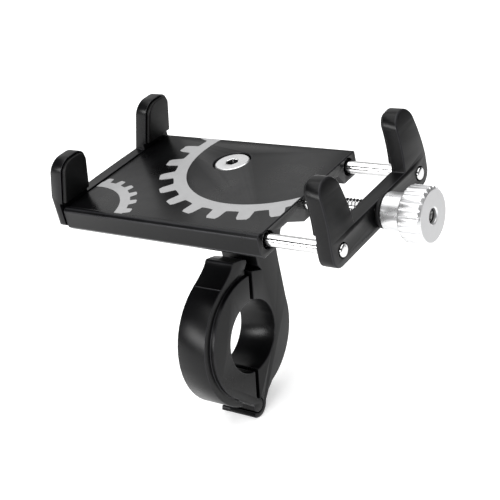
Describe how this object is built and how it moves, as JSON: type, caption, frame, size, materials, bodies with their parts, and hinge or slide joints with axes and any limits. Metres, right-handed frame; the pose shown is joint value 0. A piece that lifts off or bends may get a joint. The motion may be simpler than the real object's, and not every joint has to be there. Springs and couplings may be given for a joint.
{
  "type": "handlebar phone mount",
  "caption": "Handlebar phone mount with a hinged tube clamp, a swivelling cradle plate and a screw-driven sliding jaw with padded claws.",
  "frame": {"origin": "middle of the handlebar bore: on its axis, halfway along the clamp's width", "axes": "+X along the handlebar and the guide rods, toward the thumb knob; +Z along the cradle plate's outward normal; +Y to the rear, away from the side where the clamp opens"},
  "size_m": [0.1077, 0.0508, 0.0905],
  "materials": {
    "black_anodised": "satin black anodised",
    "pad_rubber": "matt black, moulded",
    "rod_chrome": "polished",
    "bright_aluminium": "turned bright",
    "black_steel": "blackened",
    "black_nylon": "matt black"
  },
  "bodies": {
    "clamp_rear": {"clamp_rear_half": "black_anodised", "swivel_bolt": "bright_aluminium", "swivel_washer": "black_nylon"},
    "plate": {"cradle_plate": "black_anodised", "fixed_jaw": "black_anodised", "fixed_pad_front": "pad_rubber", "fixed_pad_back": "pad_rubber", "fixed_jaw_screw_front": "black_steel", "fixed_jaw_screw_back": "black_steel"},
    "moving_jaw": {"moving_jaw": "black_anodised", "moving_pad_front": "pad_rubber", "moving_pad_back": "pad_rubber", "guide_rod_front": "rod_chrome", "guide_rod_back": "rod_chrome"},
    "screw": {"lead_screw": "rod_chrome", "screw_clip": "black_steel", "thrust_washer": "black_nylon", "thumb_knob": "bright_aluminium"},
    "clamp_front": {"clamp_front_half": "black_anodised"},
    "pinch_bolt": {"pinch_bolt": "black_steel"}
  },
  "joints": [
    {"name": "plate_swivel", "type": "hinge", "parent": "clamp_rear", "child": "plate", "pos_m": [0, 0.0163, 0.0423], "axis": [0, 0, 1], "continuous": true},
    {"name": "jaw_slide", "type": "slide", "parent": "plate", "child": "moving_jaw", "axis": [1, 0, 0], "range_m": [-0.0173, 0.024]},
    {"name": "screw_turn", "type": "hinge", "parent": "moving_jaw", "child": "screw", "pos_m": [0.0574, 0.0041, 0.0461], "axis": [1, 0, 0], "continuous": true},
    {"name": "clamp_hinge", "type": "hinge", "parent": "clamp_rear", "child": "clamp_front", "pos_m": [0, -0.0051, -0.02171], "axis": [1, 0, 0], "range_deg": [0, 60]},
    {"name": "pinch_bolt_turn", "type": "hinge", "parent": "clamp_rear", "child": "pinch_bolt", "pos_m": [0, 0.00377, 0.01514], "axis": [0, 0.9703, -0.2419], "continuous": true}
  ],
  "couplings": [
    {"joint": "screw_turn", "follows": "jaw_slide", "rad_per_m": 6283.2}
  ]
}
